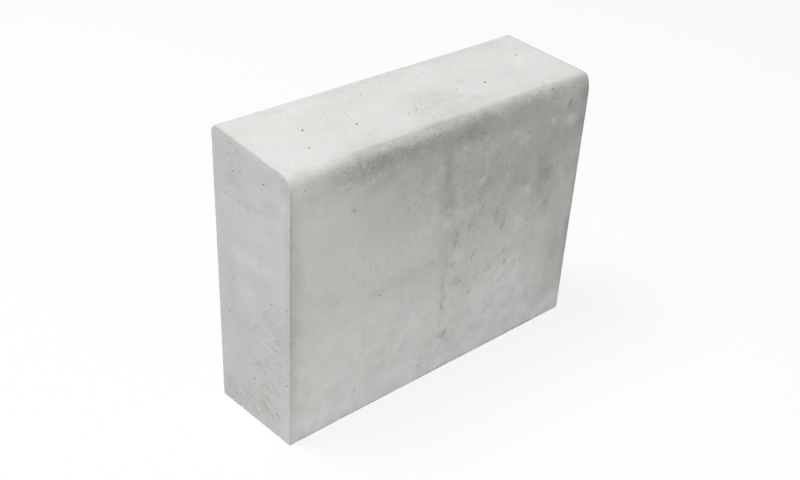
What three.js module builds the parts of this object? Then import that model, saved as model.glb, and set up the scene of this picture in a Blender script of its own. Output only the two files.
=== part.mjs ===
// Concrete kerb stone, cast as one solid block.
// Millimetres. X runs along the kerb, -Y is the road side, +Z is up, and z = 0 is the bed.
import * as THREE from "three";

// Driving sizes
const bedLength = 400; // along the kerb, at the foot of the road face
const bedWidth = 110; // road face to back face, at the bed
const height = 300; // bed to the back edge of the top
const topFall = 13; // how far the top drops from the back to the road side
const draft = 5; // how far each upright face leans out over the full height
const endTaper = 5; // how far each end draws in between the road face and the back
const noseRadius = 15; // rounded edge between the top and the road face
const bevel = 6; // flat bevel between the top and the back face, measured along each
const noseSegments = 32;

// The section's sharp corners, as (depth, height)
const roadFoot = new THREE.Vector2(-bedWidth / 2, 0);
const backFoot = new THREE.Vector2(bedWidth / 2, 0);
const backTop = new THREE.Vector2(bedWidth / 2 + draft, height);
const roadTop = new THREE.Vector2(-bedWidth / 2 - draft, height - topFall);

// The point a given distance from one corner towards another
function towards(corner, other, distance) {
  return other.clone().sub(corner).setLength(distance).add(corner);
}

// Rounds a corner of a counter-clockwise outline with an arc tangent to both its sides.
function roundCorner(outline, before, corner, after, radius) {
  const arriving = corner.clone().sub(before).normalize();
  const leaving = after.clone().sub(corner).normalize();
  const turn = Math.acos(arriving.dot(leaving));
  const start = towards(corner, before, radius * Math.tan(turn / 2));
  const centre = new THREE.Vector2(-arriving.y, arriving.x).multiplyScalar(radius).add(start);
  const startAngle = Math.atan2(-arriving.x, arriving.y);
  outline.lineTo(start.x, start.y);
  outline.absarc(centre.x, centre.y, radius, startAngle, startAngle + turn, false);
}

const bevelFoot = towards(backTop, backFoot, bevel);
const bevelTop = towards(backTop, roadTop, bevel);

const section = new THREE.Shape();
section.moveTo(roadFoot.x, roadFoot.y);
section.lineTo(backFoot.x, backFoot.y);
section.lineTo(bevelFoot.x, bevelFoot.y);
section.lineTo(bevelTop.x, bevelTop.y);
roundCorner(section, bevelTop, roadTop, roadFoot, noseRadius);
section.closePath();

const block = new THREE.ExtrudeGeometry(section, {
  depth: bedLength,
  steps: 1,
  curveSegments: noseSegments,
  bevelEnabled: false,
});
// The section is drawn flat and pushed along its own third axis: stand it up, then centre its length.
block.applyMatrix4(
  new THREE.Matrix4().makeBasis(
    new THREE.Vector3(0, 1, 0),
    new THREE.Vector3(0, 0, 1),
    new THREE.Vector3(1, 0, 0),
  ),
);
block.translate(-bedLength / 2, 0, 0);

// Each end leans out going up and draws in going back, and stays flat.
const points = block.getAttribute("position");
for (let i = 0; i < points.count; i += 1) {
  const leanOut = (draft * points.getZ(i)) / height;
  const drawIn = (endTaper * (points.getY(i) + bedWidth / 2)) / bedWidth;
  points.setX(i, Math.sign(points.getX(i)) * (bedLength / 2 + leanOut - drawIn));
}
block.computeVertexNormals();

const castConcrete = new THREE.MeshStandardMaterial({
  color: "#c8c7c3",
  roughness: 0.9,
  metalness: 0,
});

const kerbStone = new THREE.Mesh(block, castConcrete);
kerbStone.name = "kerb_stone";

const group = new THREE.Group();
group.add(kerbStone);

export default group;
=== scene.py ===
import math

import bpy
import numpy as np
from mathutils import Matrix, Vector


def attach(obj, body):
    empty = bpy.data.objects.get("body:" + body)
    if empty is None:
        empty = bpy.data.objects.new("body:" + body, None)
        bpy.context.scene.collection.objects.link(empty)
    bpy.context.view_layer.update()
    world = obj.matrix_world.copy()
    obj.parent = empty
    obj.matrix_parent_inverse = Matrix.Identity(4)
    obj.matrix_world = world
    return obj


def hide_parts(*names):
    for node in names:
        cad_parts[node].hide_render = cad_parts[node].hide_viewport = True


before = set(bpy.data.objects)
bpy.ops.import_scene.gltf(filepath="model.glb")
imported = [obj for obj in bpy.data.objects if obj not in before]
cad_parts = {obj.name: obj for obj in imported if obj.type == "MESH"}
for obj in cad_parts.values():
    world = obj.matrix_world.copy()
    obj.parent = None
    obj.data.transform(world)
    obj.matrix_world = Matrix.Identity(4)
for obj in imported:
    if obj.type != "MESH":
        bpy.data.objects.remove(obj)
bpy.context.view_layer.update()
mm = 0.001


def linear(hexColour):
    # sRGB hex to linear: the low part is a straight line, the rest a power curve
    srgb = [int(hexColour[i : i + 2], 16) / 255 for i in (1, 3, 5)]
    return tuple(c / 12.92 if c <= 0.04045 else ((c + 0.055) / 1.055) ** 2.4 for c in srgb) + (1,)


def addNode(tree, kind, settings=None, links=None):
    # One node: settings by attribute or input name, links from another node's output to an input here
    node = tree.nodes.new(kind)
    for name, value in (settings or {}).items():
        if isinstance(name, int) or name in node.inputs:
            node.inputs[name].default_value = value
        else:
            setattr(node, name, value)
    for name, source in (links or {}).items():
        tree.links.new(source, node.inputs[name])
    return node


view = {
    "azimuth": 44.57,  # degrees from the kerb's length towards its back
    "drop": 28.62,  # degrees below level
    "roll": 3.04,
    "focal": 1290.4 / 800,  # in picture widths
    "place": (-841.5, -821.4, 775.3),  # mm
    "farthest": 50,  # m
}


def addCamera():
    # The line of sight from its two angles, a level line to its right and the cross product of both, the
    # last two of them turned by the roll
    azimuth, drop, roll = (math.radians(view[name]) for name in ("azimuth", "drop", "roll"))
    flat = math.cos(drop)
    sight = Vector((flat * math.cos(azimuth), flat * math.sin(azimuth), -math.sin(drop)))
    level = Vector((math.sin(azimuth), -math.cos(azimuth), 0))
    above = level.cross(sight)
    right = level * math.cos(roll) + above * math.sin(roll)
    up = above * math.cos(roll) - level * math.sin(roll)
    data = bpy.data.cameras.new("camera")
    data.lens = view["focal"] * data.sensor_width
    data.clip_end = view["farthest"]
    camera = bpy.data.objects.new("camera", data)
    turned = Matrix((right, up, -sight)).transposed().to_4x4()
    camera.matrix_world = Matrix.Translation(Vector(view["place"]) * mm) @ turned
    bpy.context.scene.collection.objects.link(camera)
    bpy.context.scene.camera = camera


addCamera()
print("camera placed")

kerb = {  # mm
    "bedLength": 400,
    "bedWidth": 110,
    "height": 300,
    "topFall": 13,  # back to road side
    "draft": 5,  # each upright face leans out by this over the height
    "endTaper": 5,  # each end draws in by this from road face to back
    "noseRadius": 15,
    "noseReach": (10, 25),  # at the right end it reaches this far along the top and down the road face
    "noseChange": (0.6, 1),  # shares of the half length over which it gets there
    "bevel": 6,
    "bevelEasing": 1.6,  # small rounding where the bevel meets the top and the back
    "footEasing": 0.8,
    "endEasing": 0.6,  # rounding of the arrises round each end
    "endPoints": 5,  # across that rounding
    "arcHalf": 24,  # steps in each half of a corner's arc
    "spacing": 2.5,  # between points on the flat faces
    "crowding": (0.3, 6),  # steps at the arrises, as a share of the others, and about how many they are
    "extraSteps": (10, 10, 4),  # for them: across, upright, along
    "sharpAngle": 38,  # degrees between faces from which an edge isn't smoothed
    "seed": 7,
}


def between(start, end, share):
    return start + (end - start) * share


def fade(value, low, high, start=0, end=1):
    # Smoothstep from start at low to end at high; low may be above high
    t = np.clip((value - low) / (high - low), 0, 1)
    return between(start, end, t * t * (3 - 2 * t))


def softNoise(points, cell, seed):
    # Value noise: seeded random values on a cubic lattice of the given cell, blended by smoothstep weights
    size = 64  # the lattice repeats after this many cells
    table = np.random.default_rng(seed).uniform(-1, 1, (size, size, size))
    p = points / cell + 1000.0
    low = np.floor(p).astype(int)
    t = p - low
    t = t * t * (3 - 2 * t)
    total = 0.0
    for corner in np.ndindex(2, 2, 2):
        weight = np.prod(np.where(np.array(corner) == 1, t, 1 - t), axis=-1)
        i, j, k = np.moveaxis((low + corner) % size, -1, 0)
        total = total + weight * table[i, j, k]
    return total


def halfWidth(z):
    # How far the road face and the back stand from the middle at a height
    return kerb["bedWidth"] / 2 + kerb["draft"] * z / kerb["height"]


def halfLength(y, z):
    # Half the stone's length at a depth and height: it leans out going up and draws in going back
    lean = kerb["draft"] * z / kerb["height"]
    draw = kerb["endTaper"] * (y + kerb["bedWidth"] / 2) / kerb["bedWidth"]
    return kerb["bedLength"] / 2 + lean - draw


def topHeight(y):
    # Height of the top's sloping plane at a depth
    backTop = halfWidth(kerb["height"])
    return kerb["height"] - kerb["topFall"] * (backTop - y) / (2 * backTop)


def roundedCorner(before, corner, after, radius, inset):
    # The arc tangent to both sides of a corner, moved inwards by the inset
    arriving = (corner - before) / np.linalg.norm(corner - before)
    leaving = (after - corner) / np.linalg.norm(after - corner)
    turn = math.acos(np.clip(arriving @ leaving, -1, 1))
    start = corner - arriving * radius * math.tan(turn / 2)
    centre = start + np.array([-arriving[1], arriving[0]]) * radius
    steps = np.linspace(0, 1, 2 * kerb["arcHalf"] + 1)
    angle = math.atan2(-arriving[0], arriving[1]) + turn * steps
    return centre + (radius - inset) * np.stack([np.cos(angle), np.sin(angle)], -1)


def noseCurve(before, corner, after, inset, share):
    # The rounded edge: an even arc, which over the last stretch to the right end gives way to a parabola.
    # That starts nearer to the corner on the top and reaches further down the road face.
    arriving = (corner - before) / np.linalg.norm(corner - before)
    leaving = (after - corner) / np.linalg.norm(after - corner)
    onTop, onRoad = kerb["noseReach"]
    t = np.linspace(0, 1, 2 * kerb["arcHalf"] + 1)[:, None]
    toCorner, fromCorner = arriving * onTop, leaving * onRoad
    parabola = corner - toCorner * (1 - t) ** 2 + fromCorner * t**2
    along = toCorner * (1 - t) + fromCorner * t
    inward = np.stack([-along[:, 1], along[:, 0]], -1) / np.linalg.norm(along, axis=1, keepdims=True)
    arc = roundedCorner(before, corner, after, kerb["noseRadius"], inset)
    given = float(fade(share, *kerb["noseChange"]))
    return arc * (1 - given) + (parabola + inward * inset) * given


def crowdedEnds(count):
    # count steps from 0 to 1, shorter near both ends: the inverse of a density that dies away exponentially
    # from each
    tight, reach = kerb["crowding"]
    t = np.linspace(0, 1, count + 1)
    width = reach / count
    density = 1 + (1 / tight - 1) * (np.exp(-t / width * 2) + np.exp(-(1 - t) / width * 2))
    run = np.concatenate([[0], np.cumsum((1 / density[1:] + 1 / density[:-1]) / 2)])
    return run / run[-1]


def sectionOutline(inset, counts, share):
    # The section's outline, counter-clockwise from the middle of the road foot's rounding, in four
    # stretches (bed, back, top, road face) that end at the middles of the corner arcs and crowd there.
    # share is the place along the length, -1 to 1, on which only the nose depends.
    k = kerb
    roadFoot = np.array([-k["bedWidth"] / 2, 0])
    backFoot = np.array([k["bedWidth"] / 2, 0])
    backTop = np.array([k["bedWidth"] / 2 + k["draft"], k["height"]])
    roadTop = np.array([-k["bedWidth"] / 2 - k["draft"], k["height"] - k["topFall"]])
    bevelFoot = backTop + (backFoot - backTop) / np.linalg.norm(backFoot - backTop) * k["bevel"]
    bevelTop = backTop + (roadTop - backTop) / np.linalg.norm(roadTop - backTop) * k["bevel"]
    arcs = {
        "roadFoot": roundedCorner(roadTop, roadFoot, backFoot, k["footEasing"], inset),
        "backFoot": roundedCorner(roadFoot, backFoot, bevelFoot, k["footEasing"], inset),
        "bevelFoot": roundedCorner(backFoot, bevelFoot, bevelTop, k["bevelEasing"], inset),
        "bevelTop": roundedCorner(bevelFoot, bevelTop, roadTop, k["bevelEasing"], inset),
        "nose": noseCurve(bevelTop, roadTop, roadFoot, inset, share),
    }
    firstHalf = {name: arc[: k["arcHalf"] + 1] for name, arc in arcs.items()}
    lastHalf = {name: arc[k["arcHalf"] :] for name, arc in arcs.items()}
    bevelMiddle = (arcs["bevelFoot"][-1:] + arcs["bevelTop"][:1]) / 2
    stretches = [
        [lastHalf["roadFoot"], firstHalf["backFoot"]],
        [lastHalf["backFoot"], arcs["bevelFoot"], bevelMiddle],
        [bevelMiddle, arcs["bevelTop"], firstHalf["nose"]],
        [lastHalf["nose"], firstHalf["roadFoot"]],
    ]
    outline = []
    for pieces, count in zip(stretches, counts * 2):
        line = np.concatenate(pieces)
        run = np.concatenate([[0], np.cumsum(np.linalg.norm(np.diff(line, axis=0), axis=1))])
        at = crowdedEnds(count) * run[-1]
        outline.append(np.stack([np.interp(at, run, line[:, i]) for i in (0, 1)], -1))
    return outline


def endCap(side, ring, counts, first):
    # One end closed by a Coons patch: the blend of its four edge stretches less that of its four corners.
    # ring holds the outline's point numbers, and the patch's own points are numbered from first.
    across, upright = counts
    a = crowdedEnds(across)[None, :, None]
    b = crowdedEnds(upright)[:, None, None]
    bed, back, top, road = sectionOutline(kerb["endEasing"], counts, side)
    top, road = top[::-1], road[::-1]  # both now run the way of the stretch across from them
    corners = (1 - a) * (1 - b) * bed[0] + a * (1 - b) * bed[-1] + (1 - a) * b * top[0] + a * b * top[-1]
    patch = (1 - b) * bed[None] + b * top[None] + (1 - a) * road[:, None] + a * back[:, None] - corners
    inner = patch[1:-1, 1:-1].reshape(-1, 2)
    grid = np.empty((upright + 1, across + 1), int)
    grid[0, :] = ring[: across + 1]
    grid[:, -1] = ring[across : across + upright + 1]
    grid[-1, :] = ring[across + upright : 2 * across + upright + 1][::-1]
    grid[:, 0] = np.append(ring[2 * across + upright :], ring[0])[::-1]
    grid[1:-1, 1:-1] = first + np.arange(len(inner)).reshape(upright - 1, across - 1)
    cells = np.stack([grid[:-1, :-1], grid[:-1, 1:], grid[1:, 1:], grid[1:, :-1]], -1).reshape(-1, 4)
    x = side * halfLength(inner[:, 0], inner[:, 1])
    return np.column_stack([x, inner]), cells if side == 1 else cells[:, ::-1]


def kerbSurface():
    # The outline carried along the length, its last steps drawn in along a quarter circle at each end,
    # where a cap closes it
    k = kerb
    faces = (k["bedWidth"], k["height"], k["bedLength"])
    steps = [round(face / k["spacing"]) + extra for face, extra in zip(faces, k["extraSteps"])]
    counts, along = steps[:2], steps[2]
    quarter = np.linspace(0, math.pi / 2, k["endPoints"])
    endSteps = [(k["endEasing"] * (1 - math.cos(a)), k["endEasing"] * (1 - math.sin(a))) for a in quarter]
    stations = [(inset, back, -1) for inset, back in reversed(endSteps)]
    stations += [(0, k["endEasing"], share) for share in (crowdedEnds(along) * 2 - 1)[1:-1]]
    stations += [(inset, back, 1) for inset, back in endSteps]
    rings = []
    for inset, back, share in stations:
        ring = np.concatenate([stretch[:-1] for stretch in sectionOutline(inset, counts, share)])
        rings.append(np.column_stack([share * (halfLength(ring[:, 0], ring[:, 1]) - back), ring]))
    rings = np.array(rings)
    ids = np.arange(rings.shape[0] * rings.shape[1]).reshape(rings.shape[:2])
    ahead = np.roll(ids, -1, axis=1)
    points = [rings.reshape(-1, 3)]
    quads = [np.stack([ids[:-1], ahead[:-1], ahead[1:], ids[1:]], -1).reshape(-1, 4)]
    for side, ring in ((-1, ids[0]), (1, ids[-1])):
        capPoints, capQuads = endCap(side, ring, counts, sum(len(block) for block in points))
        points.append(capPoints)
        quads.append(capQuads)
    return np.concatenate(points), np.concatenate(quads)


def vertexNormals(points, quads):
    # Each face's normal is the cross product of its diagonals; a vertex takes the sum of its faces' normals
    diagonals = points[quads[:, 2]] - points[quads[:, 0]], points[quads[:, 3]] - points[quads[:, 1]]
    faceNormals = np.cross(*diagonals)
    total = np.zeros_like(points)
    for i in range(4):
        np.add.at(total, quads[:, i], faceNormals)
    return total / np.linalg.norm(total, axis=1, keepdims=True)


def makeMesh(name, points, quads):
    mesh = bpy.data.meshes.new(name)
    mesh.vertices.add(len(points))
    mesh.vertices.foreach_set("co", (points * mm).astype(np.float32).ravel())
    mesh.loops.add(quads.size)
    mesh.loops.foreach_set("vertex_index", quads.ravel().astype(np.int32))
    mesh.polygons.add(len(quads))
    mesh.polygons.foreach_set("loop_start", np.arange(0, quads.size, quads.shape[1], dtype=np.int32))
    mesh.update(calc_edges=True)
    mesh.validate()
    piece = bpy.data.objects.new(name, mesh)
    bpy.context.scene.collection.objects.link(piece)
    return piece


wear = {  # mm
    "waves": (95, 0.3, 11),  # slow undulation of every face, from the mould: cell, depth, seed
    "noseBand": (15, 8),  # the nose wanders within this distance of its corner, wholly by the second
    "noseWaves": (  # its wander: cell, how much shorter across the nose, reach either way, seed
        (34, 2, 0.3, 12),
        (34 / 3, 1, 0.15, 13),
    ),
    "shoulder": 0.62,  # its rounding starts softly, this far under the top
    "shoulderAt": (-46.4, 288.5),  # depth and height
    "shoulderWidth": 8,
    "shoulderLeft": (-170, -130, 0.6, 1),  # less of it left of here
    "noseEvens": (140, 190, 1, 0),  # and neither of them at the right end
    "chips": 60,  # small nibbles along the arrises
    "chipShares": {"upright": 0.5, "foot": 0.2, "length": 0.3},
    "chipWidth": (1.4, 4.0),
    "chipDepth": (0.15, 0.7),
    "chipShape": (1, 1, 0.8),  # a little taller than wide
    "knocks": (271, 267, 259, 250, 243, 236, 229),  # heights of a run of them on the left upright arris
    "endKnocks": (44, 31, 24, 12, 2, -9, -16, -29, -38, -45),  # depths of more on the left end's top arris
}


def arrisDistances(points):
    # Distance from each point to the stone's flat faces: the nearer end, the road face, the bed, the top
    x, y, z = points.T
    return halfLength(y, z) - np.abs(x), y + halfWidth(z), z, topHeight(y) - z


def chipPlaces(rng):
    # Points strewn along the arrises: each is on an end face and on the road face, the back or the bed
    shares = wear["chipShares"]
    places = []
    for _ in range(wear["chips"]):
        side = rng.choice([-1, 1])
        kind = rng.choice(list(shares), p=list(shares.values()))
        z = rng.uniform(0, kerb["height"] - kerb["topFall"]) if kind == "upright" else 0.0
        across = rng.choice([-1, 1]) if kind != "foot" else rng.uniform(-1, 1)
        y = across * halfWidth(z)
        x = side * halfLength(y, z) * (rng.uniform(-1, 1) if kind == "length" else 1)
        places.append((x, y, z))
    for z in wear["knocks"]:
        places.append((-halfLength(-kerb["bedWidth"] / 2, z), -halfWidth(z), z))
    for y in wear["endKnocks"]:
        places.append((-halfLength(y, topHeight(y)), y, topHeight(y)))
    return np.array(places)


def wornSurface(points, normals):
    # Every point moves along its normal: inwards by the mould's slow waves, the nose's soft shoulder and
    # the chips, each a smooth bowl of the distance to its middle, and either way by the nose's wander
    w = wear
    cell, reach, seed = w["waves"]
    depth = reach * (1 + softNoise(points, cell, seed)) / 2
    noseCorner = (-halfWidth(kerb["height"]), kerb["height"] - kerb["topFall"])
    nose = fade(np.linalg.norm(points[:, 1:] - noseCorner, axis=1), *w["noseBand"])
    wander = 0.0
    for cell, shorter, reach, seed in w["noseWaves"]:
        wander = wander + reach * softNoise(points * [1, shorter, shorter], cell, seed)
    fromShoulder = np.linalg.norm(points[:, 1:] - w["shoulderAt"], axis=1) / w["shoulderWidth"]
    shoulder = w["shoulder"] * np.exp(-(fromShoulder**2)) * fade(points[:, 0], *w["shoulderLeft"])
    depth = depth + (nose * wander + shoulder) * fade(points[:, 0], *w["noseEvens"])
    rng = np.random.default_rng(kerb["seed"])
    for place in chipPlaces(rng):
        width = rng.uniform(*w["chipWidth"])
        deep = rng.uniform(*w["chipDepth"]) * width / w["chipWidth"][1]
        away = np.linalg.norm((points - place) * w["chipShape"], axis=1) / width
        depth = depth + deep * np.clip(1 - away**2, 0, 1) ** 2
    return points - normals * depth[:, None]


pinholes = {  # places as two or all of (x, y, z), then the width, all in mm
    "top": [
        (-137, 5, 2.4), (-85, -12, 2.4), (-153, -23, 2.2), (89, -14, 2.7), (168, 14, 2.6), (-41, 31, 1.6),
        (-16, -21, 1.9), (50, -11, 1.7), (-108, 14, 1.3), (142, -48, 1.5),
    ],
    "nose": [(148, -59, 286, 2.2), (-189, -60, 273, 1.2), (-192, -58, 280, 0.9)],
    "leftEnd": [
        (28, 263, 2.0), (-20, 268, 2.1), (40, 107, 2.1), (-29, 148, 1.7), (-52, 152, 1.8), (-3, 110, 2.0),
        (1, 48, 2.5), (-52, 69, 1.7), (-35, 26, 2.2), (-39, 26, 1.8),
    ],
    "road": [
        (-90, 128, 1.9), (-129, 234, 1.2), (-110, 260, 1.4), (112, 246, 1.7), (-28, 18, 1.8),
        (174, 265, 1.4), (-40, 236, 1.1), (-185, 9, 0.9), (-186, 178, 0.7), (-152, 212, 0.7),
        (44, 190, 1.6),
    ],
    "strewn": 90,  # more of them over the whole stone
    "strewnShares": {"back": 0.34, "rightEnd": 0.22, "leftEnd": 0.12, "road": 0.2, "top": 0.12},
    "strewnWidth": (0.8, 1.9),
    "strewnFiner": {"leftEnd": 0.8, "road": 0.75, "top": 0.75},  # share of that width on these faces
    "strewnReach": (190, 50),  # from the middle, along and across
    "strewnHeight": (0.48, 0.46),  # middle and reach, in heights of the stone
    "strewnSpread": 0.95,  # share of the reach that is used
    "topSpread": 0.8,
    "depth": 0.75,  # of the width
    "lumps": ((2, 0.16), (3, 0.08)),  # waves round a hole and how far they swell it
    "cutterPoints": (7, 12),  # rings and points round each
}


def holePlaces(rng):
    # Each listed hole's place on its face's plane, then the strewn ones, each drawn with its face
    p, height = pinholes, kerb["height"]
    out = [(x, y, topHeight(y), width) for x, y, width in p["top"]]
    out += p["nose"]
    out += [(-halfLength(y, z), y, z, width) for y, z, width in p["leftEnd"]]
    out += [(x, -halfWidth(z), z, width) for x, z, width in p["road"]]
    names = list(p["strewnShares"])
    for i in rng.choice(len(names), p["strewn"], p=list(p["strewnShares"].values())):
        face = names[i]
        u, v = rng.uniform(-p["strewnSpread"], p["strewnSpread"], 2)
        width = rng.uniform(*p["strewnWidth"]) * p["strewnFiner"].get(face, 1)
        reachAlong, reachAcross = p["strewnReach"]
        middle, reachUp = p["strewnHeight"]
        x, y, z = reachAlong * u, reachAcross * u, height * (middle + reachUp * v)
        if face == "back":
            place = x, halfWidth(z), z
        elif face == "rightEnd":
            place = halfLength(y, z), y, z
        elif face == "leftEnd":
            place = -halfLength(y, z), y, z
        elif face == "road":
            place = x, -halfWidth(z), z
        else:
            y = reachAcross * v * p["topSpread"]
            place = x, y, topHeight(y)
        out.append((*place, width))
    return np.array(out)


def seated(places, points, normals):
    # The holes' middles moved onto the worn surface, and the surface's normal at each
    nearest = np.array([np.argmin(((points - place[:3]) ** 2).sum(1)) for place in places])
    out = normals[nearest]
    off = ((places[:, :3] - points[nearest]) * out).sum(1)
    return places[:, :3] - out * off[:, None], out


def holeCutters(middles, outward, widths, rng):
    # One closed lumpy ellipsoid for each hole: rings of points on a sphere, stretched along the surface's
    # normal and swollen by a few waves round it
    rings, around = pinholes["cutterPoints"]
    polar = np.linspace(0, math.pi, rings + 2)[1:-1, None]
    turn = np.arange(around) / around * 2 * math.pi
    points, faces = [], []
    for middle, out, width in zip(middles, outward, widths):
        side = np.cross(out, (0.3, 0.5, 0.8))  # with a direction that no face looks in
        side /= np.linalg.norm(side)
        swell = 1
        for waves, amount in pinholes["lumps"]:
            swell = swell + amount * np.sin(waves * turn + rng.uniform(0, 6))
        flat = np.sin(polar) * swell * width / 2
        deep = np.cos(polar) * np.ones(around) * width * pinholes["depth"]
        parts = (flat * np.cos(turn), side), (flat * np.sin(turn), np.cross(out, side)), (deep, out)
        ball = middle + sum(part[..., None] * axis for part, axis in parts)
        first = sum(len(block) for block in points)
        ids = first + np.arange(rings * around).reshape(rings, around)
        ahead = np.roll(ids, -1, axis=1)
        top, foot = first + rings * around, first + rings * around + 1
        points.append(ball.reshape(-1, 3))
        points.append(middle + out * width * pinholes["depth"] * np.array([[1], [-1]]))
        faces += np.stack([ids[:-1], ids[1:], ahead[1:], ahead[:-1]], -1).reshape(-1, 4).tolist()
        faces += np.stack([np.full(around, top), ids[0], ahead[0]], -1).tolist()
        faces += np.stack([np.full(around, foot), ahead[-1], ids[-1]], -1).tolist()
    cutters = bpy.data.meshes.new("pinhole cutters")
    cutters.from_pydata(np.concatenate(points) * mm, [], faces)
    cutters.update()
    piece = bpy.data.objects.new("pinhole cutters", cutters)
    bpy.context.scene.collection.objects.link(piece)
    return piece


def cutAway(piece, cutter):
    # A Boolean difference, made final, after which the cutter is removed
    cut = piece.modifiers.new("pinholes", "BOOLEAN")
    cut.operation = "DIFFERENCE"
    cut.solver = "MANIFOLD"
    cut.object = cutter
    bpy.context.view_layer.update()
    evaluated = piece.evaluated_get(bpy.context.evaluated_depsgraph_get())
    final = bpy.data.meshes.new_from_object(evaluated)
    piece.modifiers.clear()
    piece.data = final
    bpy.data.objects.remove(cutter)


points, quads = kerbSurface()
points = wornSurface(points, vertexNormals(points, quads))
print("kerb surface:", len(points), "points,", len(quads), "faces")
stone = makeMesh("kerb_stone_cast", points, quads)
rng = np.random.default_rng(kerb["seed"] + 1)
holes = holePlaces(rng)
middles, outward = seated(holes, points, vertexNormals(points, quads))
cutAway(stone, holeCutters(middles, outward, holes[:, 3], rng))
print("pinholes cut:", len(holes))
stone.data.polygons.foreach_set("use_smooth", np.ones(len(stone.data.polygons), bool))
stone.data.set_sharp_from_angle(angle=math.radians(kerb["sharpAngle"]))


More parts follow.
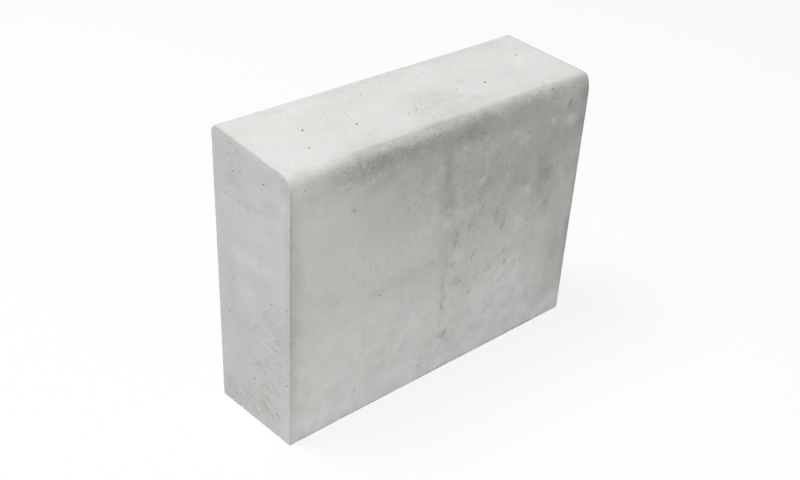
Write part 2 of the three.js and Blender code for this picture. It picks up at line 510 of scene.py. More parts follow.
# Shapes are (x, z) on the road face and the nose, (y, z) on the left end and (x, y) on the top, then half
# width, half height, lean in degrees and strength. Lengths are in mm.
weather = {
    "road": {
        "stains": [
            # under the nose
            (-177, 265, 12, 6, 0, 0.2), (-113, 281, 14, 6, 0, 0.34), (-95, 273, 50, 9, 0, 0.5),
            (-90, 272, 26, 9, 0, 0.22), (-88, 280, 14, 5, 0, 0.2), (-25, 273, 36, 9, 0, 0.3),
            (-6, 266, 18, 9, 0, 0.24), (12, 283, 10, 5, 0, 0.34), (22, 269, 24, 8, 12, 0.32),
            (27, 269, 11, 7, 0, 0.42), (-168, 247, 30, 9, 0, 0.12), (-112, 247, 24, 9, 0, 0.16),
            (-102, 252, 30, 6, -14, 0.24), (-78, 259, 9, 8, 0, 0.22), (-50, 250, 48, 20, 0, 0.34),
            (-38, 250, 14, 16, 0, 0.22), (-4, 247, 13, 24, 0, 0.3), (200, 250, 8, 26, 0, 0.3),
            # down the middle, where water ran
            (-3, 238, 9, 12, 0, 0.24), (-7, 221, 11, 30, 8, 0.34), (14, 228, 9, 9, 0, 0.14),
            (24, 235, 9, 18, 0, 0.18), (3, 202, 9, 16, 12, 0.26), (30, 208, 40, 25, 0, 0.08),
            (-25, 170, 46, 12, 0, 0.1), (2, 150, 7, 60, 0, 0.14), (-20, 134, 14, 4, 20, 0.12),
            (10, 133, 6, 8, 0, 0.14), (22, 101, 9, 6, 0, 0.28), (3, 80, 5, 26, 0, 0.14),
            (0, 48, 40, 14, 0, 0.1), (7, 51, 8, 6, 0, 0.1), (8, 40, 14, 10, 0, 0.28),
            (14, 50, 8, 8, 0, 0.14), (2, 32, 9, 8, 0, 0.14), (4, 19, 13, 14, 0, 0.4),
            # right of the middle
            (64, 220, 7, 9, 0, 0.12), (110, 222, 60, 34, 0, 0.16), (58, 209, 8, 4, -30, 0.24),
            (58, 205, 15, 9, 10, 0.14), (141, 203, 9, 10, 0, 0.3), (142, 190, 12, 28, 14, 0.46),
            (148, 188, 9, 20, 8, 0.3), (174, 196, 12, 6, 0, 0.14), (116, 186, 8, 8, 0, 0.38),
            (150, 186, 26, 10, 0, 0.1), (156, 173, 11, 15, 10, 0.28), (188, 183, 10, 14, 0, 0.24),
            (80, 158, 12, 8, 0, 0.22), (85, 141, 12, 6, 0, 0.12), (114, 160, 9, 9, 0, 0.16),
            (152, 149, 9, 12, 0, 0.2), (165, 150, 40, 26, 0, 0.22), (204, 160, 6, 60, 0, 0.35),
            (186, 97, 22, 28, 0, 0.3), (202, 105, 8, 24, 0, 0.3), (42, 49, 9, 5, 0, 0.14),
            (200, 40, 6, 60, 0, 0.3), (60, 27, 8, 6, 0, 0.14), (168, 34, 12, 9, 0, 0.25),
            # along the foot: painted contact shade
            (142, 2, 30, 4, 0, 0.7),
            # left of the middle
            (-120, 232, 22, 10, 0, 0.14), (-70, 225, 60, 16, 0, 0.08), (-60, 215, 60, 34, 0, 0.22),
            (-34, 222, 9, 8, 0, 0.2), (-165, 205, 30, 30, 0, 0.09), (-206, 150, 15, 130, 0, 0.45),
            (-198, 150, 26, 120, 0, 0.2), (-179, 158, 9, 9, 0, 0.14), (-154, 146, 14, 8, 20, 0.12),
            (-59, 134, 46, 7, 0, 0.1), (-191, 67, 6, 22, 0, 0.16), (-160, 78, 24, 20, 0, 0.07),
            (-135, 78, 9, 11, 0, 0.2), (-66, 65, 8, 9, 0, 0.3), (-204, 62, 13, 36, 0, 0.48),
            (-188, 18, 15, 9, 0, 0.24), (-200, 10, 14, 12, 0, 0.35),
        ],
        # those lying along the foot, under 2 mm up, are painted contact shade where the stone meets the
        # floor
        "marks": [
            # down the middle
            (-20, 140, 9, 3, 0, 0.25), (14, 157, 5, 11, 6, 0.7), (11, 124, 7, 2.5, 30, 0.45),
            (1, 106, 2, 9, 0, 0.4), (1, 104, 2, 3, 0, 0.6), (4, 90, 2.5, 4, 0, 0.5),
            (22, 100, 8, 4.5, 0, 0.35), (3, 76, 3, 10, -8, 0.62), (0, 62, 2, 4, 0, 0.4),
            (5, 43, 8, 6, 0, 0.75), (20, 57, 5, 4, 0, 0.55), (15, 31, 8, 4, 35, 0.32),
            (15, 1.3, 50, 1.2, 0, 0.55),
            # right of the middle
            (176, 263, 3.5, 6, 8, 0.8), (35, 163, 5, 8, 0, 0.4), (40, 171, 2.4, 7, 10, 0.45),
            (72, 160, 2.4, 8, 4, 0.55), (85, 147, 2.6, 5, 40, 0.85), (87, 162, 2.5, 4, 0, 0.4),
            (152, 154, 3, 5.5, 40, 0.78), (45, 127, 2.2, 8, 24, 0.7), (62, 127, 2, 4.5, 30, 0.55),
            (90, 114, 3.5, 3.5, 0, 0.7), (137, 116, 2.2, 5, 40, 0.5), (47, 99, 2.5, 4, 0, 0.45),
            (95, 101, 3.5, 7, 0, 0.4), (110, 92, 4.5, 4.5, 0, 0.4), (42, 82, 2.5, 5, 30, 0.45),
            (89, 77, 3.5, 4, 0, 0.45), (176, 84, 2.5, 6, 0, 0.66), (96, 0.8, 30, 1.1, 0, 0.6),
            (140, 1.5, 24, 1.8, 0, 0.9),
            # left of the middle
            (-134, 268, 3, 2, 0, 0.4), (-120, 268, 4, 2.4, -20, 0.5), (-117, 250, 2, 3, 0, 0.3),
            (-111, 260, 3, 1.8, -20, 0.7), (-104, 262, 2.4, 2.2, 0, 0.6), (-131, 232, 3, 2, 0, 0.3),
            (-129, 235, 4, 4, 0, 0.45), (-39, 236, 2.5, 1.6, 0, 0.5), (-122, 203, 4, 1.6, 30, 0.4),
            (-98, 198, 2.5, 2, 0, 0.4), (-42, 210, 4, 3, 0, 0.3), (-124, 164, 2.5, 7, 10, 0.35),
            (-113, 178, 1.8, 5, -30, 0.45), (-82, 183, 1.6, 4, -30, 0.4), (-74, 167, 2, 5, 0, 0.35),
            (-145, 144, 2.5, 4, 0, 0.3), (-104, 162, 2.5, 4, 0, 0.35), (-96, 160, 2.5, 4, 0, 0.4),
            (-118, 22, 1.5, 12, 4, 0.68), (-105, 1.6, 100, 1.4, 0, 0.6),
        ],
        "paleMarks": [
            # under the nose
            (-142, 263, 7, 1.5, -24, 0.7), (-125, 272, 2.4, 1.5, -30, 0.8), (-118, 277, 3, 1.5, -30, 0.6),
            (-112, 271, 2.4, 1.4, 0, 0.7), (-75, 262, 4, 1.2, -20, 0.4), (-24, 262, 4, 1.2, 10, 0.35),
            (-18, 241, 1.6, 8, 4, 0.4), (15, 256, 7, 3, 0, 0.3), (39, 256, 4, 2, -20, 0.4),
            (59, 243, 14, 1.3, -4, 0.5), (95, 248, 14, 4, -6, 0.3), (149, 250, 3.5, 4.5, 20, 0.42),
            (179, 245, 2.6, 6, 30, 0.5),
            # middle and left
            (-21, 225, 5, 3, 0, 0.45), (10, 214, 5, 4, 0, 0.3), (-24, 205, 6, 3, 0, 0.2),
            (0, 193, 3, 3, 30, 0.4), (-27, 177, 8, 8, 0, 0.2), (-1, 178, 1.6, 9, 10, 0.4),
            (3, 186, 1.4, 8, 30, 0.35), (31, 185, 8, 6, 0, 0.3), (-78, 9, 18, 6, 0, 0.4),
            # right of the middle
            (49, 239, 5, 2.2, -20, 0.4), (43, 228, 2.5, 5, 10, 0.4), (47, 211, 3.4, 4.6, 35, 0.62),
            (87, 206, 5, 2, 0, 0.4), (49, 168, 4, 3, 0, 0.35), (58, 185, 8, 5, 0, 0.28),
            (120, 176, 4.5, 4, 20, 0.5), (79, 150, 3, 6, 20, 0.2), (115, 157, 10, 6, 0, 0.3),
            (78, 12, 7, 6, 0, 0.35), (180, 8, 13, 7, 0, 0.6),
        ],
        "flecked": [  # rubbed, with fine slanting flecks
            (70, 200, 90, 40, 0, 0.35), (-10, 180, 30, 60, 0, 0.4), (-90, 150, 90, 80, 0, 0.22),
            (60, 130, 75, 62, 0, 0.8), (-80, 60, 100, 50, 0, 0.14), (60, 40, 100, 40, 0, 0.24),
        ],
        "bloom": [  # lime that came out and dried pale, and near the foot painted light
            # near the foot: painted light, which makes the lower road face paler against the floor's shade
            (-110, 50, 120, 60, 0, 0.65), (40, 42, 110, 50, 0, 0.66), (55, 57, 9, 8, 0, 0.3),
            (85, 42, 28, 16, 0, 0.3), (86, 54, 10, 7, 0, 0.2), (88, 56, 12, 10, 0, 0.2),
            (105, 55, 50, 45, 0, 0.7), (110, 50, 10, 10, 0, 0.2), (180, 38, 7, 6, 0, 0.3),
            (-130, 14, 30, 10, 0, 0.4), (-10, 20, 60, 14, 0, 0.1), (62, 14, 24, 8, 0, 0.35),
            (75, 30, 30, 12, 0, 0.25), (78, 13, 8, 9, 0, 0.24), (181, 13, 26, 10, 0, 0.5),
            (-78, 10, 20, 8, 0, 0.3), (-75, 12, 20, 8, 0, 0.3), (88, 10, 26, 8, 0, 0.35),
            (120, 12, 80, 12, 0, 0.4), (178, 9, 14, 9, 0, 0.5),
            # under the nose
            (-198, 276, 8, 12, 0, 0.4), (62, 280, 10, 6, 0, 0.36), (74, 270, 7, 12, 0, 0.22),
            (134, 270, 7, 8, 0, 0.16), (137, 280, 10, 6, 0, 0.36), (168, 272, 22, 9, 0, 0.34),
            (184, 283, 18, 6, 0, 0.22), (0, 245, 5, 6, 0, 0.2), (2, 255, 5, 11, 0, 0.26),
            (46, 258, 9, 6, 0, 0.25), (90, 249, 14, 5, 0, 0.2), (110, 243, 8, 4, 0, 0.28),
            (150, 249, 7, 5, 0, 0.16), (179, 244, 7, 6, 0, 0.16), (180, 244, 10, 9, 0, 0.24),
            (-12, 236, 3, 14, -14, 0.2), (102, 237, 10, 2.2, 14, 0.26), (173, 237, 8, 6, 0, 0.12),
            # right of the middle
            (46, 230, 5, 9, 0, 0.14), (57, 228, 8, 16, 0, 0.28), (46, 212, 6, 4, 0, 0.2),
            (60, 190, 20, 4, -20, 0.14), (86, 204, 7, 4, 0, 0.2), (118, 177, 7, 4.5, 0, 0.14),
            (136, 173, 6, 6, 0, 0.14), (113, 142, 11, 8, 0, 0.45), (148, 121, 10, 9, 0, 0.3),
            (73, 99, 4, 4, 0, 0.3), (88, 92, 8, 8, 0, 0.15), (193, 106, 5, 14, 0, 0.4),
            (75, 69, 28, 20, 0, 0.45), (94, 86, 14, 14, 0, 0.35), (98, 84, 8, 7, 0, 0.25),
            # elsewhere
            (-30, 227, 8, 4, 0, 0.25), (13, 190, 12, 2.5, 25, 0.22), (-185, 180, 18, 80, 0, 0.2),
            (-31, 171, 22, 18, 0, 0.25), (2, 179, 6, 9, -20, 0.4), (27, 181, 14, 10, 0, 0.25),
            (21, 131, 14, 8, 0, 0.3),
        ],
    },
    "nose": {
        "stains": [
            (-88, 285, 26, 9, 0, 0.3), (-45, 282, 24, 6, 0, 0.14), (-14, 286, 24, 5, 0, 0.3),
            (12, 285, 22, 9, 0, 0.3), (112, 286, 22, 8, 0, 0.16),
        ],
    },
    "end": {
        "stains": [
            (-50, 280, 10, 16, 0, 0.2), (-34, 276, 22, 14, 0, 0.12), (-10, 276, 50, 14, 0, 0.05),
            (-30, 250, 14, 8, 0, 0.16), (0, 238, 52, 3, 3, 0.16), (28, 252, 14, 8, 0, 0.2),
            (-60, 185, 9, 110, 0, 0.22), (-38, 146, 14, 8, 0, 0.08), (0, 160, 90, 150, 0, 0.09),
            (38, 150, 12, 40, 0, 0.16), (-30, 128, 24, 12, 0, 0.14), (-46, 110, 10, 10, 0, 0.16),
            (20, 110, 26, 16, 0, 0.14), (50, 92, 10, 8, 0, 0.08), (-25, 76, 30, 24, 0, 0.05),
            (44, 60, 16, 20, 0, 0.05), (-5, 24, 60, 20, 0, 0.09), (42, 8, 18, 20, 0, 0.28),
        ],
        "marks": [
            (32, 290, 3, 2, 0, 0.7), (-47, 274, 3, 2, 0, 0.4), (1, 273, 2, 1.6, 0, 0.4),
            (15, 271, 3, 2, 0, 0.55), (18, 275, 3, 2, 0, 0.5), (21, 287, 2.5, 2, 0, 0.6),
            (31, 268, 4, 2.5, 0, 0.6), (37, 274, 3, 2, 0, 0.6), (45, 283, 2.5, 2, 0, 0.5),
            (-1, 243, 2, 3, 0, 0.35), (32, 260, 3, 3, 0, 0.5), (29, 227, 3.5, 1.6, 0, 0.5),
            (42, 235, 6, 2, 0, 0.5), (15, 194, 3, 1.6, 0, 0.4), (-22, 136, 5, 2, 0, 0.4),
            (-18, 134, 8, 4, 0, 0.25), (-6, 133, 2.2, 6, 0, 0.5), (-37, 109, 5, 3, 0, 0.45),
            (-33, 101, 13, 1.8, 0, 0.6), (-32, 89, 15, 2, -4, 0.5), (-14, 111, 12, 1.4, -6, 0.45),
            (-46, 75, 8, 2, 14, 0.4), (-24, 78, 2.5, 5, 0, 0.5), (-8, 70, 10, 2.5, -10, 0.45),
            (-2, 67, 5, 2.5, 20, 0.5), (-39, 50, 6, 2.5, 0, 0.45), (-33, 53, 6, 3, 0, 0.45),
            (-30, 58, 4, 2, 0, 0.35), (-18, 52, 6, 5, 0, 0.4), (-10, 46, 3, 2.5, 0, 0.55),
            (5, 62, 4, 2, 0, 0.4), (-25, 20, 8, 2, 0, 0.5), (-24, 34, 1.6, 9, 50, 0.5),
            (-19, 36, 3, 5, 0, 0.5), (-17, 26, 2, 12, 50, 0.66), (-15, 24, 4, 2, 0, 0.5),
            (0, 16, 2, 9, 46, 0.55), (10, 25, 9, 2, 0, 0.45), (26, 17, 4, 2, 0, 0.5),
            (38, 30, 6, 2.5, 0, 0.4), (-17, 3, 3, 3, 0, 0.5), (-2, 10, 7, 2.5, 0, 0.5),
        ],
        "paleMarks": [
            (-42, 46, 5, 8, 20, 0.3), (-30, 40, 1.4, 8, 50, 0.4), (-8, 54, 3, 4, 0, 0.4),
            (-6, 46, 1.6, 10, 22, 0.5), (-53, 24, 4, 10, 0, 0.3), (-21, 28, 1.6, 12, 56, 0.55),
            (-4, 15, 1.8, 8, 40, 0.5), (12, 12, 1.6, 7, 45, 0.4),
        ],
        "scuffs": [  # rough, with short level marks
            (-42, 278, 14, 16, 0, 0.5), (32, 277, 18, 18, 0, 0.8), (40, 232, 20, 8, 0, 0.6),
            (0, 200, 70, 110, 0, 0.25), (-28, 125, 26, 20, 0, 0.6), (-22, 70, 34, 50, 0, 0.8),
            (-5, 20, 34, 20, 0, 1.0), (36, 12, 22, 18, 0, 0.9),
        ],
        "bloom": [
            (24, 232, 14, 6, 0, 0.08), (-10, 207, 18, 10, 0, 0.14), (-16, 177, 16, 9, 0, 0.2),
            (19, 177, 22, 11, 0, 0.28), (6, 143, 12, 12, 0, 0.14), (2, 52, 12, 14, 0, 0.14),
            (45, 60, 8, 10, 0, 0.2), (-48, 14, 9, 10, 0, 0.12),
        ],
    },
    "top": {
        "patches": [  # greenish
            (-135, 46, 8, 4, 0, 0.5), (-70, 50, 110, 6, 0, 0.35), (-60, 45, 20, 8, 0, 0.4),
            (4, 40, 16, 8, 0, 0.5), (60, 50, 120, 6, 0, 0.5), (146, 45, 30, 9, 0, 0.5),
            (-60, 30, 60, 10, 0, 0.14), (-40, 22, 22, 12, 0, 0.35), (9, -9, 34, 15, 0, 0.9),
            (66, 1, 8, 5, 0, 0.6), (96, 12, 13, 10, 20, 0.5), (-116, -34, 12, 5, 0, 0.25),
            (-79, -32, 7, 4, 0, 0.5), (-12, -28, 12, 8, 0, 0.5), (14, -23, 34, 6, 0, 0.9),
            (40, -37, 34, 8, 0, 0.7), (-52, -48, 90, 7, 0, 0.5), (0, -44, 34, 14, 0, 0.7),
            (30, -49, 200, 4, 0, 0.4),
        ],
        "bloom": [
            (92, 15, 18, 14, 0, 0.16), (170, 0, 30, 18, 0, 0.3), (-104, -22, 12, 8, 0, 0.16),
            (150, -30, 20, 8, 0, 0.3), (-157, -52, 18, 5, 0, 0.4),
        ],
    },
    "bloomAndPaintedLightStrength": 0.8,  # of all its lists
    "softness": (1.5, 1.5),  # a shape's edge is this many half sizes out, and it falls off with this power
    "ticks": {  # short scuffs between the marks, most of them right of the middle
        "count": 150,
        "rightShare": 0.68,
        "right": ((-15, 195), (105, 55)),  # x from and to, middle and spread of z
        "left": ((-195, 0), (15, 235)),  # x and z from and to
        "sizes": ((1.4, 2.2), (3, 7.5)),
        "lean": (24, 14),  # middle and spread
        "strength": (0.08, 0.32),
        "leftFainter": 0.7,
    },
    "bends": ((19, 5, 21), (6.5, 2, 31)),  # noises that bend every shape: cell, reach, first of three seeds
    "stainBend": (1, 0.7, 1),  # shares of them that stains take along x, y and z
    "markBend": 0.25,  # and marks
    "cloudy": (46, 25),  # slow and fine unevenness: cell, seed
    "fine": (11, 26),
    "arrisNoise": (4, 27),
    "fades": {  # from, to, then the strength at each where that isn't 0 and 1
        "facingRoad": (-0.35, -0.85),  # of the normal
        "facingEnd": (-0.6, -0.9),
        "facingUp": (0.45, 0.85),
        "onNose": (-0.12, -0.4),
        "onPitting": (-0.15, -0.6),
        "sootUp": (244, 268, 0, 0.4),  # soot and splash under the nose
        "sootLeft": (-200, -125, 0.3, 1),
        "sootRight": (60, 150, 1, 0.28),
        "dampAcross": (-70, 70),  # the upper right, darker: damp stains and painted shade
        "dampUp": (105, 190, 0, 0.46),
        "grimeLeft": (-205, -165, 0, 0.3),  # grime on the nose's upper half
        "grimeRight": (145, 160, 1, 0.4),
        "pittedAcross": (-180, -140),  # skin worn off under the nose
        "pittedUp": (250, 262),
        "footBloom": (45, 8, 0, 0.92),  # painted light: paler towards the foot, against the floor's shade there
        "footBloomLeft": (-165, -200, 1, 0.5),
        "busyAcross": (-150, -60),  # where the road face is spotted
        "busyUp": (30, 110),
        "knockedUp": (212, 236),  # the run of knocks on the left upright arris
        "knockedDown": (284, 268),
        "arrisUp": (80, 140),  # the upper part of the upright arris
    },
    "dampAndShadeSlope": 0.25,  # the darkening starts higher going right, by this for each mm
    "busyLeast": 0.25,
    "shares": {  # what each of these is the sum of
        "sootCover": {"all": 0.7, "fine": 0.5},
        "dampCover": {"all": 0.65, "cloudy": 0.5},
        "grimeCover": {"all": 0.5, "fine": 1},
        "pittedCover": {"all": 0.5, "cloudy": 0.6},
        "dustCover": {"all": 0.4, "cloudy": 0.5, "fine": 0.2},
        "arrisCover": {"all": 0.75, "fine": 0.5, "knocked": 0.6, "arrisNoise": 0.45},
        "sandy": {"top": 0.6, "grubby": 1, "end": 0.4},
    },
    "pittedDampAndShade": 0.35,
    "grubby": (2.6, 0.7),  # how much of the soot and of the damp stains with their painted shade, and of the flecks, counts as grubby
    "blotched": (0.9, 0.3, 0.25),  # of the grubby, the busy and the end
    "topDust": 0.3,
    "arrisLine": {  # dark line along the arrises; along the foot it is painted contact shade
        "width": 0.6,
        "knockedWider": 0.3,
        "upperWider": 0.15,
        "strength": (0.55, 1.2),  # low and high on the upright one
        "top": (2.2, 0.26),  # width and strength round the top of each end
        "onEnd": 0.2,
    },
    "holeDark": (0.04, 0.4),  # painted shade in the pinholes: from this deep, whole at this share of the width
    "seed": 31,
}


def joined(under, over):
    # Two coverings, each from 0 to 1, laid one over the other
    return 1 - (1 - under) * (1 - over)


def spots(u, v, places):
    # Soft leaning ellipses laid over each other: each is a power of one less the squared distance in its
    # own half sizes
    reach, power = weather["softness"]
    total = np.zeros(len(u))
    for cu, cv, wide, tall, lean, strength in places:
        c, s = math.cos(math.radians(lean)), math.sin(math.radians(lean))
        across = ((u - cu) * c - (v - cv) * s) / wide / reach
        along = ((u - cu) * s + (v - cv) * c) / tall / reach
        total = joined(total, strength * np.clip(1 - across**2 - along**2, 0, 1) ** power)
    return total


def ticks(rng):
    # Short scuffs that lean a little, thicker on the right and in the middle heights
    look = weather["ticks"]
    out = []
    for _ in range(look["count"]):
        right = rng.uniform() < look["rightShare"]
        spanX, spanZ = look["right"] if right else look["left"]
        x = rng.uniform(*spanX)
        z = rng.normal(*spanZ) if right else rng.uniform(*spanZ)
        size = [rng.uniform(*span) for span in look["sizes"]]
        lean = rng.normal(*look["lean"])
        strength = rng.uniform(*look["strength"]) * (1 if right else look["leftFainter"])
        out.append((x, z, *size, lean, strength))
    return out


def holeShadeMask(where):
    # Painted shade inside each hole, by the depth under the surface
    start, share = weather["holeDark"]
    inHole = np.zeros(len(where))
    for middle, out, width in zip(middles, outward, holes[:, 3]):
        near = np.linalg.norm(where - middle, axis=1) < width
        inHole = np.maximum(inHole, near * fade((middle - where) @ out, start, share * width))
    return inHole


def weatherMasks(mesh):
    # Every mask is a sum of soft shapes over the points' own coordinates, which noises have bent, and fades
    # out where the surface turns away
    w, fades = weather, weather["fades"]
    where = np.empty(len(mesh.vertices) * 3, np.float32)
    facing = np.empty(len(mesh.vertices) * 3, np.float32)
    mesh.vertices.foreach_get("co", where)
    mesh.vertices.foreach_get("normal", facing)
    where = where.reshape(-1, 3).astype(float) / mm
    x, y, z = where.T
    normalX, normalY, normalZ = facing.reshape(-1, 3).T
    bends = np.zeros((3, len(where)))
    for cell, reach, seed in w["bends"]:
        bends += [reach * softNoise(where, cell, seed + axis) for axis in range(3)]
    bx, by, bz = where.T + np.array(w["stainBend"])[:, None] * bends
    mx, my, mz = where.T + w["markBend"] * bends
    road = fade(normalY, *fades["facingRoad"])
    end = fade(normalX, *fades["facingEnd"])
    top = fade(normalZ, *fades["facingUp"])
    parts = {"all": 1, "top": top, "end": end, "arrisNoise": softNoise(where, *w["arrisNoise"])}
    for name in ("cloudy", "fine"):
        parts[name] = 0.5 + 0.5 * softNoise(where, *w[name])

    def cover(name):
        return sum(share * parts[part] for part, share in w["shares"][name].items())

    masks = {}
    soot = fade(bz, *fades["sootUp"]) * fade(x, *fades["sootLeft"]) * fade(x, *fades["sootRight"])
    soot = soot * cover("sootCover")
    # Darker towards the upper right: damp stains and painted shade
    dampAndShade = fade(bx, *fades["dampAcross"]) * fade(bz - w["dampAndShadeSlope"] * x, *fades["dampUp"])
    dampAndShade = dampAndShade * cover("dampCover")
    grime = fade(x, *fades["grimeLeft"]) * fade(x, *fades["grimeRight"]) * cover("grimeCover")
    onRoad = joined(joined(soot, dampAndShade), spots(bx, bz, w["road"]["stains"]))
    onNose = joined(grime, spots(bx, bz, w["nose"]["stains"])) * fade(normalY, *fades["onNose"])
    masks["dirtAndShade"] = onRoad * road + onNose * (1 - road) + spots(by, bz, w["end"]["stains"]) * end

    marks = w["road"]["marks"] + ticks(np.random.default_rng(w["seed"]))
    masks["marks"] = spots(mx, mz, marks) * road
    masks["endMarks"] = spots(my, mz, w["end"]["marks"]) * end
    masks["paleMarks"] = spots(mx, mz, w["road"]["paleMarks"]) * road
    masks["paleMarks"] += spots(my, mz, w["end"]["paleMarks"]) * end
    pitted = fade(bz, *fades["pittedUp"]) * fade(x, *fades["pittedAcross"]) * cover("pittedCover")
    masks["pitted"] = pitted * fade(normalY, *fades["onPitting"]) + w["pittedDampAndShade"] * dampAndShade * road

    # Painted light: paler towards the foot, where the floor shades the road face, joined with the lime
    # bloom
    foot = fade(z, *fades["footBloom"]) * fade(x, *fades["footBloomLeft"]) * road
    bloom = spots(bx, bz, w["road"]["bloom"]) * road + spots(by, bz, w["end"]["bloom"]) * end
    bloom = bloom + spots(bx, by, w["top"]["bloom"]) * top
    masks["bloom"] = joined(w["bloomAndPaintedLightStrength"] * bloom, foot)
    masks["patches"] = spots(bx, by, w["top"]["patches"]) * top

    flecked = spots(bx, bz, w["road"]["flecked"])
    masks["flecked"] = flecked * road
    masks["scuffed"] = spots(by, bz, w["end"]["scuffs"]) * end
    ofSoot, ofFlecks = w["grubby"]
    grubby = road * joined(np.minimum(ofSoot * joined(soot, dampAndShade), 1), ofFlecks * flecked)
    busy = road * between(w["busyLeast"], 1, fade(x, *fades["busyAcross"]) * fade(z, *fades["busyUp"]))
    ofGrubby, ofBusy, ofEnd = w["blotched"]
    parts["grubby"] = grubby
    masks["sandy"] = cover("sandy")
    masks["blotched"] = joined(ofGrubby * grubby, ofBusy * busy) + ofEnd * end
    masks["spotted"] = busy
    masks["dusted"] = road * cover("dustCover") + w["topDust"] * top

    toEnd, toRoad, toBed, toTop = arrisDistances(where)
    knocked = parts["knocked"] = fade(z, *fades["knockedUp"]) * fade(z, *fades["knockedDown"])
    line, upper = w["arrisLine"], fade(z, *fades["arrisUp"])
    width = line["width"] + line["knockedWider"] * knocked + line["upperWider"] * upper
    upright = np.exp(-(toEnd**2 + toRoad**2) / width**2) * between(*line["strength"], upper)
    topWidth, topStrength = line["top"]
    atTop = topStrength * np.exp(-(toEnd**2 + toTop**2) / topWidth**2)
    # Painted contact shade: a dark line along the road face's foot, where the stone meets the floor
    atFoot = np.exp(-(toBed**2 + toRoad**2) / line["width"] ** 2)
    arris = (upright + atTop) * between(1, line["onEnd"], end) + atFoot
    masks["arris"] = arris * cover("arrisCover")
    masks["holeShade"] = holeShadeMask(where)
    return masks


masks = weatherMasks(stone.data)
for name, values in masks.items():
    layer = stone.data.attributes.new(name, "FLOAT", "POINT")
    layer.data.foreach_set("value", np.clip(values, 0, 1).astype(np.float32))
print("weathering laid on", len(stone.data.vertices), "points, masks:", ", ".join(masks))


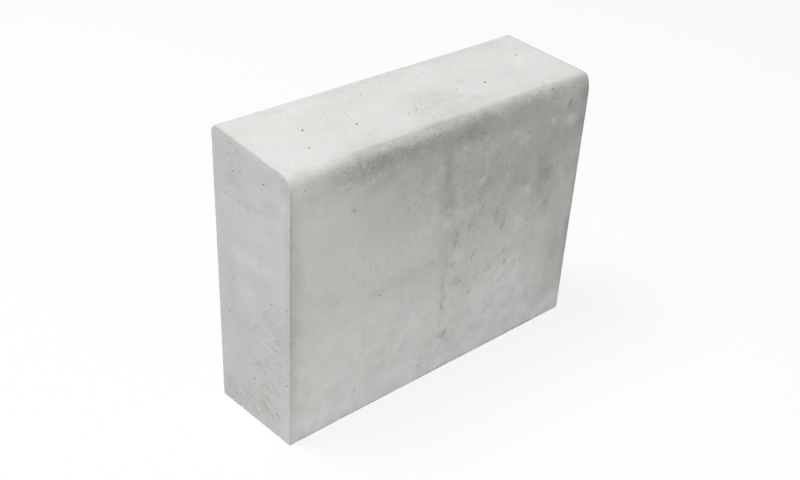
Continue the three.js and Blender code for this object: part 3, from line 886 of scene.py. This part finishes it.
# Precast concrete, vibrated in a smooth mould. Its skin is set cement paste, which gives the eye a matt
# pale grey with no sheen, cloudy where it dried unevenly. Where the skin is rubbed off, its sand shows as
# fine specks. Spans are a pattern's values (from, to), then the strength at each where it isn't 0 and 1.
concreteLook = {
    "colours": {
        "clean": "#d6d6d5",
        "cloud": "#cfcfcd",
        "green": "#bcbdb8",
        "greyDust": "#d4d3cf",
        "warmDust": "#d8d5d2",
        # dirt colours, also used for the painted shade towards the upper right
        "brownDirtAndShade": "#9b9793",
        "greenDirtAndShade": "#989793",
        "mark": "#8c8a84",
        # pale lime bloom, also used as painted light towards the foot of the road face
        "bloom": "#efeeec",
        "arris": "#7b7973",
        # painted shade inside the pinholes
        "holeShade": "#464440",
    },
    "patterns": {  # noise: size in mm, detail, roughness
        "clouds": (70, 3, 0.55),  # a hand's breadth, the size of the drier and wetter parts
        "tints": (70 / 3, 3, 0.55),  # a third of that, where greenish and brownish dirt, and the shade painted in it, change over
        "warmth": (30, 3, 0.55),  # drifts of road dust
        "mottle": (17, 5, 0.62),  # gravel of up to 20 mm, close under the skin
        "patchy": (9, 4, 0.6),  # tufts of green
        "blotches": (10, 6, 0.7),  # gravel of about 10 mm
        "spotGroups": (38, 1, 0.55),  # splashes, and the drops in them
        "spots": (8, 3, 0.6),
        "arrisWear": (7, 4, 0.7),  # between knocks
        "pitting": (2.6, 4, 0.7),  # coarse sand, laid bare
        "grain": (2.6, 3, 0.7),  # sand of about 1 mm, too fine to show, so drawn this coarse
        "dust": (1.1, 1, 0.5),  # cement dust, far too fine to show, so drawn as the finest that does
        "ragged": (3.4, 4, 0.7),  # edge of a mark
        "flecks": (3, 3, 0.6),  # rubbed spots
        "leaning": (7, 3, 0.55),  # runs of rain
        "streaks": (2.6, 4, 0.7),  # scrapes along the end
        "dashes": (2.2, 3, 0.6),
    },
    "drawnOut": {  # those that lean, in degrees, and how far they are stretched along x, y and z
        "ragged": (26, (1, 1, 2)),
        "flecks": (26, (1, 1, 2.6)),
        "leaning": (24, (1, 1, 2.2)),
        "streaks": (0, (1, 2, 1)),
        "dashes": (0, (1, 3.3, 1)),
    },
    "blends": {  # two colours by a pattern's span
        "ground": ("clean", "cloud", "clouds", (0.36, 0.66)),
        "dust": ("greyDust", "warmDust", "warmth", (0.42, 0.58)),
        "dirtAndShade": ("brownDirtAndShade", "greenDirtAndShade", "tints", (0.4, 0.6)),
    },
    "layers": [  # colour or blend, mask, the spans of the patterns that break it up, then how it is cut off
        ("green", "patches", {"patchy": (0.36, 0.6, 0.4, 1)}, None),
        ("dust", "dusted", {}, None),
        # stains, soot and grime, with painted shade towards the upper right of the road face
        ("dirtAndShade", "dirtAndShade", {"mottle": (0.32, 0.68, 0.7, 1.2)}, None),
        # lime bloom, and painted light towards the foot
        ("bloom", "bloom", {"mottle": (0.3, 0.62, 0.55, 1.05)}, None),
        ("mark", "marks", {"ragged": (0.36, 0.64, 0.1, 1.7)}, (0.12, 0.7, 0, 0.46)),
        ("mark", "endMarks", {"streaks": (0.36, 0.64, 0.3, 1.5)}, (0.1, 0.8, 0, 0.36)),
        ("bloom", "paleMarks", {"ragged": (0.36, 0.64, 0.1, 1.7)}, (0.1, 0.8, 0, 0.54)),
        ("mark", "scuffed", {"dashes": (0.55, 0.7, 0, 0.5)}, None),
        ("bloom", "scuffed", {"dashes": (0.42, 0.3, 0, 0.33)}, None),
        ("mark", "pitted", {"pitting": (0.54, 0.66, 0, 0.52)}, None),
        ("clean", "pitted", {"pitting": (0.44, 0.34, 0, 0.45)}, None),
        (
            "greenDirtAndShade",
            "spotted",
            {"spotGroups": (0.42, 0.6, 0.25, 1), "spots": (0.55, 0.68, 0, 0.26)},
            None,
        ),
        ("mark", "flecked", {"flecks": (0.57, 0.7, 0, 0.42)}, None),
        ("bloom", "flecked", {"flecks": (0.4, 0.28, 0, 0.37)}, None),
    ],
    "tones": [  # lighter and darker by this much: mask, pattern, its span, amount
        (None, "mottle", (0.3, 0.7), 0.025),
        (None, "leaning", (0.3, 0.7), 0.009),
        (None, "grain", (0.3, 0.7), 0.025),
        (None, "dust", (0.3, 0.7), 0.015),
        ("sandy", "dust", (0.3, 0.7), 0.09),
        ("blotched", "blotches", (0.36, 0.64), 0.035),
    ],
    "edges": [  # as layers, over the tones
        ("arris", "arris", {"arrisWear": (0.42, 0.6, 0.5, 1)}, None),
        # painted shade in the pinholes
        ("holeShade", "holeShade", {}, None),
    ],
    "bumps": [  # pattern, mask, strength, depth in mm
        ("grain", None, 0.22, 0.3),
        ("pitting", "pitted", 1, 0.6),
        ("mottle", None, 0.21, 0.8),
    ],
    "finish": {"Roughness": 0.92, "Specular IOR Level": 0.3},
}


def castConcrete(maskNames):
    look = concreteLook
    rangeSockets = ("From Min", "From Max", "To Min", "To Max")
    material = bpy.data.materials.new("cast concrete")
    material.use_nodes = True
    tree = material.node_tree
    shader = tree.nodes["Principled BSDF"]
    place = addNode(tree, "ShaderNodeTexCoord").outputs["Object"]
    masks, patterns, blends = {}, {}, {}
    for name in maskNames:
        masks[name] = addNode(tree, "ShaderNodeAttribute", {"attribute_name": name}).outputs["Fac"]
    for name, (size, detail, roughness) in look["patterns"].items():
        vector = place
        if name in look["drawnOut"]:
            lean, lengths = look["drawnOut"][name]
            settings = {"vector_type": "TEXTURE", "Rotation": (0, math.radians(lean), 0), "Scale": lengths}
            vector = addNode(tree, "ShaderNodeMapping", settings, {"Vector": place}).outputs["Vector"]
        settings = {"Scale": 1 / (size * mm), "Detail": detail, "Roughness": roughness}
        patterns[name] = addNode(tree, "ShaderNodeTexNoise", settings, {"Vector": vector}).outputs["Fac"]
    for name, (under, over, pattern, span) in look["blends"].items():
        settings = dict(zip(rangeSockets, span))
        share = addNode(tree, "ShaderNodeMapRange", settings, {"Value": patterns[pattern]}).outputs[0]
        under, over = (linear(look["colours"][each]) for each in (under, over))
        settings = {"data_type": "RGBA", 6: under, 7: over}
        blends[name] = addNode(tree, "ShaderNodeMix", settings, {0: share}).outputs[2]

    def laidOver(colour, layers):
        # Each layer covers what is under it by its mask, times the strengths that its patterns give
        for name, mask, spans, cut in layers:
            cover = masks[mask]
            for pattern, span in spans.items():
                settings = dict(zip(rangeSockets, span))
                share = addNode(tree, "ShaderNodeMapRange", settings, {"Value": patterns[pattern]})
                links = {0: cover, 1: share.outputs[0]}
                cover = addNode(tree, "ShaderNodeMath", {"operation": "MULTIPLY"}, links).outputs[0]
            if cut:
                settings = dict(zip(rangeSockets, cut))
                cover = addNode(tree, "ShaderNodeMapRange", settings, {"Value": cover}).outputs[0]
            settings, links = {"data_type": "RGBA"}, {0: cover, 6: colour}
            if name in blends:
                links[7] = blends[name]
            else:
                settings[7] = linear(look["colours"][name])
            colour = addNode(tree, "ShaderNodeMix", settings, links).outputs[2]
        return colour

    colour = laidOver(blends["ground"], look["layers"])
    for mask, pattern, (low, high), amount in look["tones"]:
        settings = dict(zip(rangeSockets, (low, high, -amount, amount)))
        change = addNode(tree, "ShaderNodeMapRange", settings, {"Value": patterns[pattern]}).outputs[0]
        settings, links = {"operation": "MULTIPLY_ADD", 0: 1.0, 2: 1.0}, {1: change}
        if mask:
            links[0] = masks[mask]
        tone = addNode(tree, "ShaderNodeMath", settings, links).outputs[0]
        toned = addNode(tree, "ShaderNodeVectorMath", {"operation": "SCALE"}, {0: colour, "Scale": tone})
        colour = toned.outputs[0]
    tree.links.new(laidOver(colour, look["edges"]), shader.inputs["Base Color"])
    for name, value in look["finish"].items():
        shader.inputs[name].default_value = value
    normal = None
    for pattern, mask, strength, depth in look["bumps"]:
        links = {"Height": patterns[pattern]}
        if mask:
            links["Strength"] = masks[mask]
        if normal:
            links["Normal"] = normal
        settings = {"Strength": strength, "Distance": depth * mm}
        normal = addNode(tree, "ShaderNodeBump", settings, links).outputs[0]
    tree.links.new(normal, shader.inputs["Normal"])
    return material


concrete = castConcrete(list(masks))
stone.data.materials.clear()
stone.data.materials.append(concrete)
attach(stone, "root")
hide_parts("kerb_stone")
print("concrete mixed from", len(concrete.node_tree.nodes), "nodes")


studio = {
    "sky": 0.36,  # world light on the stone
    "lamps": {  # place in m, size in m, power in W
        "key softbox": ((-0.7, 0.7, 2.8), 1.6, 62),
        "low fill": ((-1.45, -1.45, 0.35), 1.2, 19),
    },
    "aim": (0, 0, 0.15),  # m
    "floorHalf": 6,  # m
    "white": "#ffffff",
    "paperSeen": "#f1f1f1",  # the paper as the camera sees it
    "paperGlow": 0.85,  # share of plain white in what the camera sees of it
    "paperBounce": "#bcbcbc",  # as the light that it throws back on the stone sees it
}


def seenDirectly(tree):
    # 1 for the rays that show the studio itself: straight from the camera, mirrored or let through
    path = addNode(tree, "ShaderNodeLightPath").outputs
    seen = path["Is Camera Ray"]
    for name in ("Is Glossy Ray", "Is Transmission Ray"):
        links = {0: seen, 1: path[name]}
        seen = addNode(tree, "ShaderNodeMath", {"operation": "MAXIMUM"}, links).outputs[0]
    return seen


def whitePaper():
    # Matt white paper, rolled smooth: it scatters light evenly, so it gives the eye a plain white with no
    # edge or sheen, on which the stone's shadow stays soft
    paper = bpy.data.materials.new("white paper sweep")
    paper.use_nodes = True
    tree = paper.node_tree
    tree.nodes.clear()
    pale = addNode(tree, "ShaderNodeBsdfDiffuse", {"Color": linear(studio["paperSeen"])})
    dull = addNode(tree, "ShaderNodeBsdfDiffuse", {"Color": linear(studio["paperBounce"])})
    glow = addNode(tree, "ShaderNodeEmission", {"Color": linear(studio["white"]), "Strength": 1.0})
    links = {1: pale.outputs[0], 2: glow.outputs[0]}
    lit = addNode(tree, "ShaderNodeMixShader", {0: studio["paperGlow"]}, links)
    links = {0: seenDirectly(tree), 1: dull.outputs[0], 2: lit.outputs[0]}
    both = addNode(tree, "ShaderNodeMixShader", links=links)
    addNode(tree, "ShaderNodeOutputMaterial", links={"Surface": both.outputs[0]})
    return paper


def addStudio():
    scene = bpy.context.scene
    world = bpy.data.worlds.new("white studio")
    scene.world = world
    world.use_nodes = True
    tree = world.node_tree
    links = {"Factor": seenDirectly(tree)}
    strength = addNode(tree, "ShaderNodeMix", {"A": studio["sky"], "B": 1.0}, links)
    tree.nodes["Background"].inputs["Color"].default_value = linear(studio["white"])
    tree.links.new(strength.outputs[0], tree.nodes["Background"].inputs["Strength"])
    for name, (place, size, power) in studio["lamps"].items():
        lamp = bpy.data.lights.new(name, "AREA")
        lamp.shape = "DISK"
        lamp.size = size
        lamp.energy = power
        holder = bpy.data.objects.new(name, lamp)
        holder.location = place
        aim = Vector(studio["aim"]) - holder.location
        holder.rotation_euler = aim.to_track_quat("-Z", "Y").to_euler()
        scene.collection.objects.link(holder)
    corners = np.array([[-1, -1, 0], [1, -1, 0], [1, 1, 0], [-1, 1, 0]]) * studio["floorHalf"] / mm
    floor = makeMesh("floor", corners, np.array([[0, 1, 2, 3]]))
    floor.data.materials.append(whitePaper())


addStudio()
print("studio lit")
bpy.context.scene.view_settings.view_transform = "Standard"
